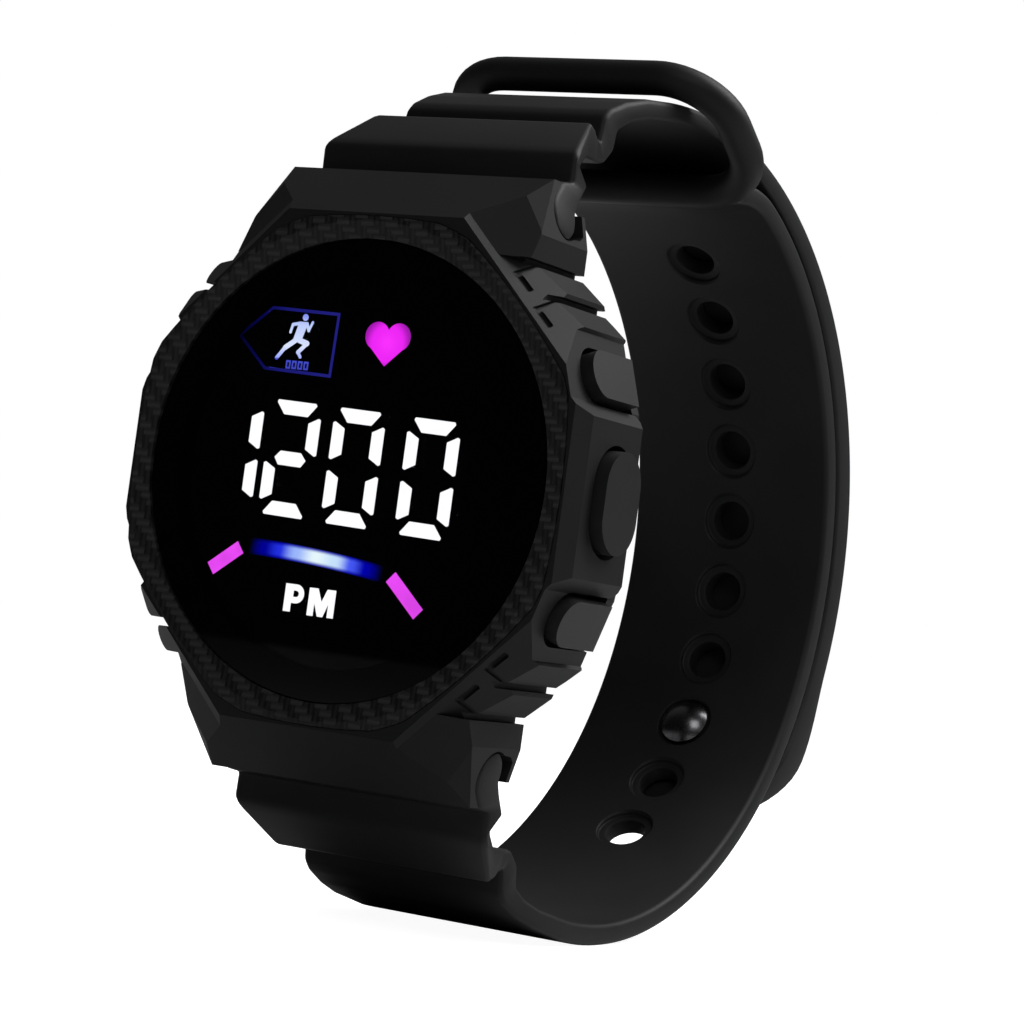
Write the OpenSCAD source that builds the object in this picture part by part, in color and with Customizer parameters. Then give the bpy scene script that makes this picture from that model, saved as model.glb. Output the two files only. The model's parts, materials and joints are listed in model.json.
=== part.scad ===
// Sports watch with an LED display, three side pushers and a holed strap with a loop and a snap stud.
// Frame: origin at the centre of the case back's outer face, +X to 3 o'clock, +Y to the wrist, +Z to 12 o'clock.
// Depths called fit depths are measured behind the glass front, so y = depth - case_t.

/* [Case] */
// Thickness from the glass front to the case back
case_t = 11.5; // [11.2:0.1:12.5]
// Height over the lug hoods, from 6 o'clock to 12 o'clock
lug_span = 48; // [47:0.5:50]
// Width of the case at the lugs
lug_w = 26.1; // [25.5:0.1:27]
// Width over the two side guards
guard_w = 40.2; // [39.6:0.2:41.4]
// Width of the bezel across its bowed left and right sides
bezel_w = 38.4; // [38:0.1:38.8]
// Height of the bezel across its bowed top and bottom sides
bezel_h = 39; // [38.6:0.1:39.4]
// Width of the bezel across its bowed slanted sides
bezel_diag = 38.6; // [38.2:0.1:39]
// Diameter of the circle that trims the bezel's corners
bezel_corner_d = 40.1; // [39.9:0.1:40.4]
// Height of the bezel's rim in front of the glass
bezel_rise = 0.5; // [0.2:0.1:0.8]
// Thickness of the back cover
cover_t = 1.6; // [1.4:0.1:1.8]
// Diameter of the cavity that holds the movement
cavity_d = 31.6; // [31.2:0.1:31.8]
// Thread diameter of the four case screws
screw_d = 1.5; // [1.2:0.1:1.6]

/* [Display] */
// Diameter of the display glass
glass_d = 35.4; // [35.2:0.1:35.8]
// Thickness of the display glass
glass_t = 1.2; // [1:0.1:1.3]
// Height of the digits
digit_h = 8.95; // [8.5:0.05:9.4]
// Width of a digit
digit_w = 4.7; // [4.4:0.1:4.9]
// Width of a lit segment
segment_w = 1.1; // [1:0.05:1.3]
// Slope of the digit row, which steps down to the right, in degrees
digit_turn = 1.8; // [0:0.2:2]

/* [Pushers] */
// Travel of each pusher
pusher_travel = 0.6; // [0.4:0.1:0.7]
// Height of a pusher's face above the case
pusher_rise = 0.9; // [0.8:0.1:1.2]
// Diameter of the pusher stems
stem_d = 1.6; // [1.4:0.1:1.8]
// Width of the upper and lower pushers, along the case side
side_pusher_w = 3.7; // [3.4:0.1:4]
// Length of the centre pusher
centre_pusher_len = 7.8; // [7.2:0.1:8.2]
// Width of the centre pusher
centre_pusher_w = 5.4; // [4.8:0.1:5.6]

/* [Strap] */
// Width of the strap past its blocks
band_w = 20; // [19.2:0.2:20.4]
// Depth of the strap loop inside, from the case back
loop_depth = 57.1; // [55:0.1:58]
// Height of the strap loop inside
loop_height = 64.8; // [63.8:0.2:65.8]
// Thickness of the holed band at the back of the wrist
band_t = 2.3; // [2.1:0.1:2.4]
// Thickness of the holed band under the wrist
band_edge_t = 1.8; // [1.5:0.05:1.9]
// Thickness of the outer strap at the back of the wrist
tail_t = 3.1; // [2.6:0.1:3.3]
// Thickness of the outer strap over the wrist
tail_edge_t = 1.6; // [1.4:0.1:1.8]
// Gap between the holed band and the strap outside it
layer_gap = 0.3; // [0.25:0.05:0.4]
// Diameter of the strap holes
hole_d = 3.6; // [3.4:0.1:4]
// Diameter of the shallow rim round each hole
hole_rim_d = 5; // [4.8:0.1:5.4]
// Distance from one hole to the next
hole_pitch = 7; // [6.8:0.1:7.1]
// Number of holes
hole_count = 10; // [9:1:10]

/* [Closure] */
// Number of the hole that holds the stud, from the loop
stud_hole = 8; // [8:1:8]
// Diameter of the stud's head
stud_head_d = 4.5; // [4.2:0.1:4.7]
// Diameter of the stud's neck
stud_neck_d = 2.8; // [2.4:0.1:2.8]
// Diameter of the rod that forms the loop
ring_rod_d = 2.9; // [2.6:0.1:3]
// Width of the loop from rod centre to rod centre
ring_w = 25.5; // [25.4:0.1:26.5]
// Length of the loop from rod centre to rod centre
ring_len = 13.8; // [13.8:0.1:14.2]
// Diameter of the spring bar tubes
bar_d = 1.8; // [1.5:0.1:1.8]

/* [Hidden] */
$fn = 64;

// Overshoot of cutting shapes past the faces they cut
over = 1;
// Clearance between parts that are laid in each other
fit_gap = 0.05;
// Clearance of a part that turns or slides in its hole
run_gap = 0.08;

// Planes of the case, along Y
front_y = -case_t;
rear_y = -cover_t;
bezel_seat_depth = 0.6;
deck_y = front_y + bezel_seat_depth;
gasket_t = 0.3;
glass_seat_y = front_y + glass_t + gasket_t;
rim_y = front_y - bezel_rise + 0.1;
bezel_gap = 0.05;
rim_flat = 0.25;
bezel_bow_r = 55;
cavity_r = cavity_d / 2;
glass_r = glass_d / 2;
glass_hole_r = glass_r + 0.1;
rim_least = 0.5;

// Slopes of the case front, as depth over distance from the bezel
top_slope = 1.36;
right_slope = 2.8;
left_slope = 2;
right_rib_slope = 1.9;
left_rib_slope = 1.15;

// Lug hoods: gentle slope towards the diagonals, and a chamfer along each side
hood_slope = 0.75;
hood_drop = 0.4;
hood_root_z = 19.3;
hood_chamfer_turn = 45;
hood_chamfer_lift = 31.6;

// Case outline, one quadrant: lug, two ribs, pusher facet and guard
lug_r = lug_w / 2;
guard_r = guard_w / 2;
lug_end_z = lug_span / 2;
hood_half_w = lug_r - 1.15;
rib_step = 2.35;
rib_drop = 1.75;
rib1_z = 16.85;
rib2_z = 14.25;
facet_tilt = 18;
facet_top_z = 12.35;
facet_low_z = 7.1;
facet_mid_z = 9.1;
guard_top_z = 6;
facet_low_x = guard_r - 1.13;
facet_top_x = facet_low_x - (facet_top_z - facet_low_z) * tan(facet_tilt);
facet_mid_x = facet_low_x - (facet_mid_z - facet_low_z) * tan(facet_tilt);
groove_w = 0.5;
groove_depth = 0.8;
left_hood_z = 16.3;
left_rib_r = 0.95;
left_rib_z = 14.55;
left_rib_x = 16.4;
left_step_z = 12.95;
front_groove_w = 0.35;
front_groove_depth = 0.6;
rear_chamfer_d = 21.1;
rear_chamfer_w = 0.5;

// Stack inside the case, as fit depths behind the glass front
mask_top = glass_t + fit_gap;
mask_t = 1.05;
mask_r = cavity_r - 0.2;
board_t = 0.8;
chip_t = 0.75;
display_board_top = mask_top + mask_t + chip_t + fit_gap;
display_board_low = display_board_top + board_t;
spacer_t = 1.5;
main_board_top = display_board_low + spacer_t;
main_board_low = main_board_top + board_t;
board_r = cavity_r - 0.4;
ring_wall = 1.1;
cell_r = 10;
cell_t = 2.5;
holder_t = 2.6;
clip_t = 0.2;
pad_t = 0.5;

// Screws of the back cover, on the diagonals
screw_place_r = 17.6;
screw_len = 4.2;
screw_head_r = screw_d / 2 + 0.5;
screw_head_t = 0.6;
seal_groove_t = 0.5;
seal_groove_in = cavity_r + 0.2;
seal_groove_out = screw_place_r - screw_d / 2 - 0.15;

// Pushers: depths are measured inwards from the case surface
stem_r = stem_d / 2;
stem_axis_y = front_y + main_board_low + 1.35;
cap_depth = 1;
cap_gap = 0.4;
recess_depth = cap_depth + pusher_travel + 0.2;
stem_off = abs(facet_mid_x * sin(facet_tilt) - facet_mid_z * cos(facet_tilt));
facet_reach = facet_mid_x * cos(facet_tilt) + facet_mid_z * sin(facet_tilt);
seal_r = 0.3;
seal_gap = 0.05;
clip_r = stem_r + 0.45;
clip_groove_r = stem_r - 0.2;
clip_w = 0.3;
clip_gap = 0.15;
seat_r = clip_r + 0.3;
side_seat = facet_reach - sqrt(pow(cavity_r, 2) - pow(max(stem_off - seat_r, 0), 2)) - 0.1;
centre_seat = guard_r - cavity_r - 0.1;
tip_past_seat = 2;
plunger_r = 0.5;
switch_len = 2;
switch_w = 2.8;
side_cap_front = front_y + 2.2;
side_cap_rear = rear_y - 0.9;
centre_cap_front = front_y + 3.2;

// Lug pockets and spring bars
bar_y = front_y + 6.8;
bar_z = lug_end_z - 2.5;
bar_r = bar_d / 2;
knuckle_r = 1.8;
pocket_r = knuckle_r + 0.15;
ear_in = 9.8;
ear_out = 11.2;
ear_r = 1.45;
ear_gap = 0.2;
tip_r = 0.55;

// Strap loop: ellipses round one centre, in the Y-Z plane
loop_a = 35.4;
loop_b = loop_height / 2;
loop_y = loop_depth - loop_a - 0.1;
loop_z = -1.15;
loop_tilt = 0.8;
band_out_a = loop_a + band_t;
band_out_b = loop_b + band_edge_t;
tail_in_a = band_out_a + layer_gap;
tail_in_b = band_out_b + layer_gap + 0.05;
tail_out_a = tail_in_a + tail_t;
tail_out_b = tail_in_b + tail_edge_t;
arc_step = 4;
block_end_angle = 100;
hole_first_angle = 53.7;
hole_angle = hole_pitch / ((loop_a + loop_b) / 2) * 180 / PI;
stud_angle = hole_first_angle - (stud_hole - 1) * hole_angle;
tail_end_angle = stud_angle - 14;
rim_depth = 0.4;
pad_rise = 1.1;
pad_half_angle = 14;

// Blocks of the straps, as [back, up] from the spring bar's axis
block_outer = [
    [-1.236, 1.308], [0.16, 2.63], [1.9, 2.9], [1.9, 5.1], [2.5, 5.7], [6.4, 8.5], [7.5, 8.2],
    [8.1, 7.7], [9.5, 7.7], [9.8, 9.7], [10.5, 10.4], [12.8, 11.5], [15.7, 12.4]
];
block_inner = [
    [15.7, 10.7], [13.5, 9.9], [12, 8.9], [11.7, 7.1], [10.6, 6], [6.1, 5.7], [4.1, 4.4], [4.1, 2.9],
    [1.8, 0.55], [1.8, 0]
];

// Half widths of a strap along its blocks, as [back, half width] from the spring bar's axis
block_widths = [[-10, 11.7], [1.9, 11.7], [6.3, 10.2], [8.1, 9.8], [9.5, 9.4], [12, 9.5], [16, band_w / 2]];
shoulder_z = lug_end_z + 0.3;

// Loop at the end of the holed band
ring_rod_r = ring_rod_d / 2;
ring_corner_r = 5.5;
ring_tilt = -32;
ring_web_angle = 65.2;
ring_bar_y = loop_y + 6.65;
ring_bar_z = loop_z + loop_b - 1.71;

// Stud: it stands square on the holed band, and lengths are measured from the outer strap's inner face
stud_normal = normal_angle(stud_angle) - loop_tilt;
stud_lift = (tail_in_a - loop_a) * cos(stud_angle) * cos(stud_normal)
    + (tail_in_b - loop_b) * sin(stud_angle) * sin(stud_normal);
stud_head_t = 1;
stud_head_gap = 0.4;
stud_dome_r = 3.2;
stud_plate_d = 7;
stud_plate_t = 0.6;
stud_plate_x = tail_t * 0.9 + pad_rise - stud_plate_t;
neck_reach = stud_lift - rim_depth + stud_head_gap;
tip_cut_reach = 8;

black = [0.05, 0.05, 0.055];
carbon = [0.12, 0.12, 0.13];
steel = [0.6, 0.6, 0.62];
board_green = [0.05, 0.25, 0.12];
lit_white = [1, 1, 1];
lit_pink = [1, 0.4, 0.95];
lit_blue = [0.25, 0.35, 1];

// Points and frames

// Point of a loop ellipse, which leans by the loop's tilt
function loop_point(a, b, angle) = [
    loop_y + a * cos(angle) * cos(loop_tilt) - b * sin(angle) * sin(loop_tilt),
    loop_z + a * cos(angle) * sin(loop_tilt) + b * sin(angle) * cos(loop_tilt)
];

function loop_arc(a, b, from, to) =
    let (n = ceil(abs(to - from) / arc_step))
    [for (i = [0:n]) loop_point(a, b, from + (to - from) * i / n)];

function from_bar(points) = [for (p = points) [bar_y + p[0], bar_z + p[1]]];

function below(points) = [for (p = points) [p[0], -p[1]]];

function pad_height(angle) =
    let (off = abs(angle - stud_angle) / pad_half_angle)
    off < 1 ? pad_rise * (1 + cos(180 * off)) / 2 : 0;

// Angle of the band's normal at a hole, from +Y towards +Z
function normal_angle(angle) = loop_tilt + atan2(sin(angle) / loop_b, cos(angle) / loop_a);

// Frame of the stud: local +X points out of the outer strap, from its inner face
module at_stud() {
    at_band(loop_a, loop_b, stud_angle) translate([stud_lift, 0, 0]) children();
}

// Extrudes an outline drawn as [y, z] along X, centred
module side_prism(w) {
    rotate([90, 0, 90])
        linear_extrude(w, center = true)
            children();
}

// Extrudes an outline drawn as [x, z] along Y, between two planes
module front_prism(y0, y1) {
    translate([0, y1, 0])
        rotate([90, 0, 0])
            linear_extrude(y1 - y0)
                children();
}

// Cylinder along Y between two planes
module y_rod(r, y0, y1) {
    translate([0, y1, 0])
        rotate([90, 0, 0])
            cylinder(r = r, h = y1 - y0);
}

// Cylinder along X between two planes
module x_rod(r, x0, x1) {
    translate([x0, 0, 0])
        rotate([0, 90, 0])
            cylinder(r = r, h = x1 - x0);
}

module y_ring(r_out, r_in, y0, y1) {
    difference() {
        y_rod(r_out, y0, y1);
        y_rod(r_in, y0 - over, y1 + over);
    }
}

module both_ends() {
    children();
    mirror([0, 0, 1]) children();
}

// Puts a shape drawn round the origin on the spring bar's axis at 12 o'clock
module at_bar() {
    translate([0, bar_y, bar_z]) children();
}

// Frame of a side pusher: local +X is the outward normal of its facet
module at_facet(side) {
    translate([facet_mid_x, 0, side * facet_mid_z])
        rotate([0, -side * facet_tilt, 0])
            children();
}

module at_guard() {
    translate([guard_r, 0, 0]) children();
}

// Frame on the band: local +X is the outward normal, at the given ellipse
module at_band(a, b, angle) {
    p = loop_point(a, b, angle);
    translate([0, p[0], p[1]])
        rotate([normal_angle(angle), 0, 0])
            rotate([0, 0, 90])
                children();
}

// Case

// Right half: two ribs, then the pusher's facet and the guard
module right_quadrant_2d() {
    polygon([
        [0, 0], [0, lug_end_z], [hood_half_w, lug_end_z], [lug_r, hood_root_z], [lug_r, rib1_z],
        [lug_r + rib_step, rib1_z - rib_drop], [lug_r + rib_step, rib2_z],
        [lug_r + 2 * rib_step - 0.25, rib2_z - rib_drop + 0.15], [facet_top_x, facet_top_z],
        [facet_low_x, facet_low_z], [guard_r, guard_top_z], [guard_r, 0]
    ]);
}

// Left half: a round-ended rib, a step, and a plain guard that keeps under the bezel at its ends
module left_quadrant_2d() {
    step_r = 0.6;
    step_x = left_rib_x + 0.3;
    polygon([
        [0, 0], [0, lug_end_z], [hood_half_w, lug_end_z], [lug_r, hood_root_z], [lug_r, left_step_z],
        [step_x, left_step_z], [step_x + step_r, left_step_z - step_r], [step_x + 0.5, 11], [step_x - 0.1, 10.2],
        [18.1, 7.6], [guard_r - 0.9, 5.6], [guard_r - 0.2, 3], [guard_r, 1.5], [guard_r, 0]
    ]);
    translate([step_x, left_step_z - step_r]) circle(step_r);
    translate([left_rib_x - left_rib_r, left_rib_z]) circle(left_rib_r);
    translate([0, left_rib_z - left_rib_r]) square([left_rib_x - left_rib_r, 2 * left_rib_r]);
}

module case_outline_2d() {
    for (sz = [0, 1])
        mirror([0, sz]) {
            right_quadrant_2d();
            mirror([1, 0]) left_quadrant_2d();
        }
}

// Inside of a bowed side whose crown is at the given reach, in the given direction
module bowed_side_2d(direction, reach) {
    rotate(direction) translate([reach - bezel_bow_r, 0]) circle(bezel_bow_r, $fn = 360);
}

// Octagon with bowed sides and round corners
module bezel_outline_2d(grow = 0) {
    side_reach = bezel_w / 2 + grow;
    top_reach = bezel_h / 2 + grow;
    slant_reach = bezel_diag / 2 + grow;
    intersection() {
        bowed_side_2d(0, side_reach);
        bowed_side_2d(180, side_reach);
        bowed_side_2d(90, top_reach);
        bowed_side_2d(270, top_reach);
        bowed_side_2d(45, slant_reach);
        bowed_side_2d(135, slant_reach);
        bowed_side_2d(225, slant_reach);
        bowed_side_2d(315, slant_reach);
        circle(bezel_corner_d / 2 + grow, $fn = 128);
    }
    circle(glass_hole_r + rim_least + grow);
}

// Wedge in front of a slanted face that starts beside the bezel, whose width is given
module bevel_wedge(width, slope, drop = 0) {
    d = width / 2 + rim_flat;
    y = rim_y + drop;
    reach = 14;
    linear_extrude(80, center = true)
        polygon([[d, y], [d + reach, y + reach * slope], [d + reach, rim_y - over], [d, rim_y - over]]);
}

// Wedge behind a 45-degree chamfer that starts at distance d on the case's rear edge
module rear_wedge(d) {
    reach = 4;
    linear_extrude(80, center = true)
        polygon([[d, rear_y], [d + reach, rear_y - reach], [d + reach, rear_y + over], [d, rear_y + over]]);
}

module body_bevel_cuts() {
    bevel_wedge(bezel_w, right_slope);
    rotate([0, 180, 0]) bevel_wedge(bezel_w, left_slope);
    for (a = [90, 270]) rotate([0, a, 0]) bevel_wedge(bezel_h, top_slope);
    for (a = [45, 315]) rotate([0, a, 0]) bevel_wedge(bezel_diag, right_rib_slope);
    for (a = [135, 225]) rotate([0, a, 0]) bevel_wedge(bezel_diag, left_rib_slope);
    for (a = [0, 180]) rotate([0, a, 0]) rear_wedge(guard_r - rear_chamfer_w);
    for (a = [45:90:315]) rotate([0, a, 0]) rear_wedge(rear_chamfer_d);
}

// Outline of a lug seen from the front, up to the given height
module lug_outline_2d(top_z) {
    top_w = hood_half_w - (top_z - lug_end_z) * (lug_r - hood_half_w) / (lug_end_z - hood_root_z);
    polygon([
        [-lug_r, left_hood_z], [-lug_r, hood_root_z], [-top_w, top_z], [top_w, top_z], [lug_r, hood_root_z],
        [lug_r, rib1_z + groove_w]
    ]);
}

// Removes what is beyond the plane of the hood's side chamfer, which ends at the hood's front corner
module hood_chamfer_cut() {
    corner = [hood_half_w, rim_y + top_slope * (lug_end_z - bezel_h / 2 - rim_flat), lug_end_z];
    out = [
        cos(hood_chamfer_lift) * cos(hood_chamfer_turn), -cos(hood_chamfer_lift) * sin(hood_chamfer_turn),
        sin(hood_chamfer_lift)
    ];
    size = 40;
    rotate([0, -hood_chamfer_lift, -hood_chamfer_turn])
        translate([corner * out, -size / 2, -size / 2]) cube(size);
}

// Lug hood: slopes to 12 o'clock like the case, more gently at the diagonals, with chamfered sides
module lug_hood() {
    difference() {
        front_prism(rim_y, rear_y) lug_outline_2d(lug_end_z);
        rotate([0, -90, 0]) bevel_wedge(bezel_h, top_slope);
        for (a = [45, 135]) rotate([0, -a, 0]) bevel_wedge(bezel_diag, hood_slope, hood_drop);
        hood_chamfer_cut();
        mirror([1, 0, 0]) hood_chamfer_cut();
    }
}

// Line between two points, with round ends
module line_2d(p, q, w) {
    turn = atan2(q[1] - p[1], q[0] - p[0]);
    translate(p) {
        circle(d = w);
        rotate(turn) translate([0, -w / 2]) square([norm(q - p), w]);
    }
    translate(q) circle(d = w);
}

// Grooves along the right side above each rib, and their hooks on the slanted front
module side_grooves() {
    both_ends() {
        translate([lug_r - groove_depth, front_y - over, rib1_z])
            cube([2 * groove_depth, case_t, groove_w]);
        translate([lug_r + rib_step - groove_depth, front_y - over, rib2_z])
            cube([2 * groove_depth, case_t, groove_w]);
        intersection() {
            front_prism(rim_y - over, rear_y) {
                front_groove_2d([lug_r + 0.05, rib1_z + groove_w / 2]);
                front_groove_2d([lug_r + rib_step, rib2_z + groove_w / 2]);
            }
            rotate([0, -45, 0]) bevel_wedge(bezel_diag - 2, right_rib_slope, front_groove_depth - right_rib_slope);
        }
    }
}

// Hook of a groove on the front, from its end on the case edge
module front_groove_2d(end) {
    turn = end + [-0.7, -1.05];
    line_2d(end, turn, front_groove_w);
    line_2d(turn, turn + [1.27, -1.22], front_groove_w);
}

// Room for the strap end under the lug hood, with a lip behind it
module lug_pocket() {
    at_bar() {
        x_rod(pocket_r, -lug_r - over, lug_r + over);
        side_prism(lug_w + 2 * over)
            polygon([
                [-1.34, 1.417], [0.86, 3.5], [0.86, 6], [9, 6], [9, 0.4], [2.6, 0.4], [2.6, -1.2],
                [2, -1.6], [1, -1.7]
            ]);
    }
}

module lug_ears() {
    for (s = [-1, 1])
        at_bar() {
            x_rod(ear_r, s > 0 ? ear_in : -ear_out, s > 0 ? ear_out : -ear_in);
            translate([s * (ear_in + ear_out) / 2, 0, -1.2])
                cube([ear_out - ear_in, 2 * ear_r, 2.4], center = true);
        }
}

module side_cap_2d(grow, rear) {
    r = side_pusher_w / 2 + grow;
    front = side_cap_front + side_pusher_w / 2;
    translate([front, 0]) circle(r);
    translate([front, -r]) square([rear - front, 2 * r]);
}

module centre_cap_2d(grow) {
    r = centre_pusher_w / 2;
    for (s = [-1, 1])
        translate([centre_cap_front + r, s * (centre_pusher_len / 2 - r)]) circle(r + grow);
    translate([centre_cap_front - grow, -(centre_pusher_len / 2 - r)])
        square([centre_pusher_w + 2 * grow, centre_pusher_len - 2 * r]);
}

// Extrudes a cap outline drawn as [y, z] between two local X planes
module cap_prism(x0, x1) {
    translate([x0, 0, 0])
        rotate([90, 0, 90])
            linear_extrude(x1 - x0)
                children();
}

// Depth of a pusher's seal, halfway from its recess to the inner end of its hole
function seal_depth(seat) = (recess_depth + seat) / 2;

module stem_hole(seat) {
    translate([0, stem_axis_y, 0]) {
        x_rod(stem_r + run_gap, -seat - over, 0);
        x_rod(stem_r + seal_gap + 2 * seal_r + 0.02, -seal_depth(seat) - seal_r, -seal_depth(seat) + seal_r);
        x_rod(seat_r, -seat - 3, -seat);
    }
}

module pusher_cuts() {
    for (side = [-1, 1])
        at_facet(side) {
            cap_prism(-recess_depth, 4) side_cap_2d(cap_gap, over);
            stem_hole(side_seat);
        }
    at_guard() {
        cap_prism(-recess_depth, 4) centre_cap_2d(cap_gap);
        stem_hole(centre_seat);
    }
}

module at_screws() {
    for (a = [45:90:315])
        rotate([0, a, 0]) translate([screw_place_r, 0, 0]) children();
}

module case_body() color(black)
    difference() {
        union() {
            difference() {
                union() {
                    difference() {
                        front_prism(rim_y, rear_y) case_outline_2d();
                        body_bevel_cuts();
                    }
                    both_ends() lug_hood();
                }
                both_ends() lug_pocket();
            }
            both_ends() lug_ears();
        }
        both_ends() at_bar() x_rod(tip_r + run_gap, -ear_out - 0.1, ear_out + 0.1);
        side_grooves();
        front_prism(rim_y - over, deck_y) bezel_outline_2d(bezel_gap);
        y_rod(cavity_r, front_y, rear_y + over);
        y_rod(glass_hole_r, front_y - over, glass_seat_y);
        pusher_cuts();
        y_ring(seal_groove_out, seal_groove_in, rear_y - seal_groove_t, rear_y + over);
        at_screws() y_rod(screw_d / 2, rear_y - screw_len, rear_y + over);
    }

module bezel() color(carbon)
    difference() {
        front_prism(front_y - bezel_rise, deck_y) bezel_outline_2d();
        y_rod(glass_hole_r, front_y - over, deck_y + over);
        translate([0, front_y - bezel_rise - fit_gap, 0])
            rotate([-90, 0, 0])
                cylinder(r1 = bezel_w / 2 + 0.2, r2 = glass_hole_r - 0.2, h = bezel_rise * 0.7);
    }

module back_cover() color(black)
    difference() {
        union() {
            front_prism(rear_y, -0.4) bezel_outline_2d();
            y_rod(cavity_r - 0.8, -0.4 - fit_gap, 0);
        }
        at_screws() {
            y_rod(screw_d / 2 + 0.1, rear_y - over, over);
            y_rod(screw_head_r + 0.1, -0.4 - screw_head_t, over);
        }
    }

module back_screws() color(steel)
    at_screws() {
        y_rod(screw_d / 2 - 0.03, rear_y - screw_len + 0.3, -0.4 - screw_head_t);
        difference() {
            y_rod(screw_head_r, -0.4 - screw_head_t, -0.4);
            translate([0, -0.4, 0]) cube([0.3, 0.5, 2 * screw_head_r + over], center = true);
            translate([0, -0.4, 0]) cube([2 * screw_head_r + over, 0.5, 0.3], center = true);
        }
    }

module back_gasket() color([0.15, 0.15, 0.16])
    y_ring(seal_groove_out - fit_gap, seal_groove_in + fit_gap, rear_y - seal_groove_t + fit_gap, rear_y);

// Display

module display_glass() color([0.02, 0.02, 0.03, 0.6])
    y_rod(glass_r, front_y, front_y + glass_t);

module glass_gasket() color([0.15, 0.15, 0.16])
    y_ring(glass_r - 0.1, cavity_r + 0.3, front_y + glass_t, glass_seat_y);

// Segments are numbered 0 top, 1 upper right, 2 lower right, 3 bottom, 4 lower left, 5 upper left, 6 middle
digits_lit = [[1, 2], [0, 1, 6, 4, 3], [0, 1, 2, 3, 4, 5], [0, 1, 2, 3, 4, 5]];
digits_x = [-10.8, -5.5, 0.35, 7.05];
digits_z = 0.3;
segment_across = (digit_w - segment_w) / 2;
segment_up = (digit_h - segment_w) / 2;

// Centre of a segment in its digit, and the turn of its long edge
function segment_place(s) =
    s == 0 ? [0, segment_up, 0] :
    s == 1 ? [segment_across, segment_up / 2 - 0.07, -90] :
    s == 2 ? [segment_across, -segment_up / 2 + 0.07, -90] :
    s == 3 ? [0, -segment_up, 180] :
    s == 4 ? [-segment_across, -segment_up / 2 + 0.07, 90] :
    s == 5 ? [-segment_across, segment_up / 2 - 0.07, 90] : [0, 0, 0];

// Segment with a long outer edge and slanted ends; the middle one has a point at each end
function segment_points(s) =
    let (
        h = segment_w / 2,
        outer = s == 6 ? 1.05 : s == 0 || s == 3 ? 1.85 : 1.47,
        inner = s == 6 ? 1.05 : s == 0 || s == 3 ? 1.1 : 1,
        tip = s == 6 ? 1.45 : outer,
        tip_h = s == 6 ? 0 : h - 0.2
    )
    [[-tip, tip_h], [-outer + 0.1, h], [outer - 0.1, h], [tip, tip_h], [inner, -h], [-inner, -h]];

function turned(p, a) = [p[0] * cos(a) - p[1] * sin(a), p[0] * sin(a) + p[1] * cos(a)];

// Point of the display's rows: uprights stay upright, and the row steps down to the right
function in_row(p) = [p[0], p[1] - p[0] * tan(digit_turn)];

module time_2d() {
    for (i = [0:3], s = digits_lit[i]) {
        place = segment_place(s);
        centre = [digits_x[i] + place[0], digits_z + place[1]];
        polygon([for (p = segment_points(s)) in_row(centre + turned(p, place[2]))]);
    }
}

letter_h = 2.14;
letter_w = 0.66;

module pm_2d() {
    bowl_r = 0.73;
    bowl_x = 0.7;
    top = letter_h / 2;
    row_z = -10.24;
    translate(in_row([-3.93, row_z])) {
        square([letter_w, letter_h], center = true);
        translate([bowl_x, top - bowl_r])
            difference() {
                union() {
                    circle(bowl_r);
                    translate([-bowl_x, -bowl_r]) square([bowl_x, 2 * bowl_r]);
                }
                circle(0.24);
                translate([-0.24, -0.24]) square([0.24, 0.48]);
            }
    }
    translate(in_row([-0.85, row_z]))
        for (s = [0, 1])
            mirror([s, 0])
                polygon([
                    [0, 0.1], [0.41, top], [1.21, top], [1.21, -top], [0.63, -top], [0.63, -0.1], [0.25, -top], [0, -top]
                ]);
}

module heart_2d() {
    translate([1.85, 9.98]) {
        for (s = [-1, 1]) translate([s * 0.95, 0.55]) circle(r = 1.08);
        polygon([[-1.85, -0.02], [1.85, -0.02], [0, -1.75]]);
        square([1.9, 1], center = true);
    }
}

// Running figure
module runner_2d() {
    translate([-5.84, 11.5]) circle(0.27);
    polygon([[-6.35, 11.15], [-5.5, 11.15], [-5.95, 9.65], [-6.75, 9.65]]);
    line_2d([-5.62, 11.02], [-5.4, 10.5], 0.26);
    line_2d([-5.4, 10.5], [-5.12, 11.15], 0.22);
    line_2d([-6.25, 11.02], [-6.92, 10.88], 0.26);
    line_2d([-6.92, 10.88], [-7.06, 10.28], 0.24);
    line_2d([-6.15, 9.7], [-5.4, 9.48], 0.44);
    line_2d([-5.4, 9.48], [-6.12, 8.75], 0.34);
    line_2d([-6.12, 8.75], [-5.86, 8.4], 0.26);
    line_2d([-6.5, 9.65], [-7.36, 9.05], 0.42);
    line_2d([-7.36, 9.05], [-8.02, 8.2], 0.32);
}

// Tag-shaped frame round the runner and a small row of noughts
module activity_2d() {
    difference() {
        polygon([[-11.9, 9.75], [-9, 12.2], [-2.7, 12.05], [-2.8, 7], [-9.05, 7.2]]);
        polygon([[-11.52, 9.75], [-8.92, 11.95], [-2.94, 11.81], [-3.04, 7.25], [-8.95, 7.45]]);
    }
    runner_2d();
    for (x = [-6.87, -6.32, -5.77, -5.22])
        translate([x, 7.75])
            difference() {
                square([0.44, 0.66], center = true);
                square([0.16, 0.36], center = true);
            }
}

// Glowing bar bent to a shallow arc
module light_arc_2d() {
    arc_r = 95;
    arc_half = 3.8;
    arc_w = 1.3;
    arc_turn = 4.4;
    translate([-1.87, -6.81])
        rotate(-arc_turn)
            translate([0, -arc_r])
                intersection() {
                    difference() {
                        circle(r = arc_r + arc_w / 2, $fn = 360);
                        circle(r = arc_r - arc_w / 2, $fn = 360);
                    }
                    polygon([
                        [0, 0], [-2 * arc_r * sin(arc_half), 2 * arc_r * cos(arc_half)],
                        [2 * arc_r * sin(arc_half), 2 * arc_r * cos(arc_half)]
                    ]);
                }
}

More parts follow.
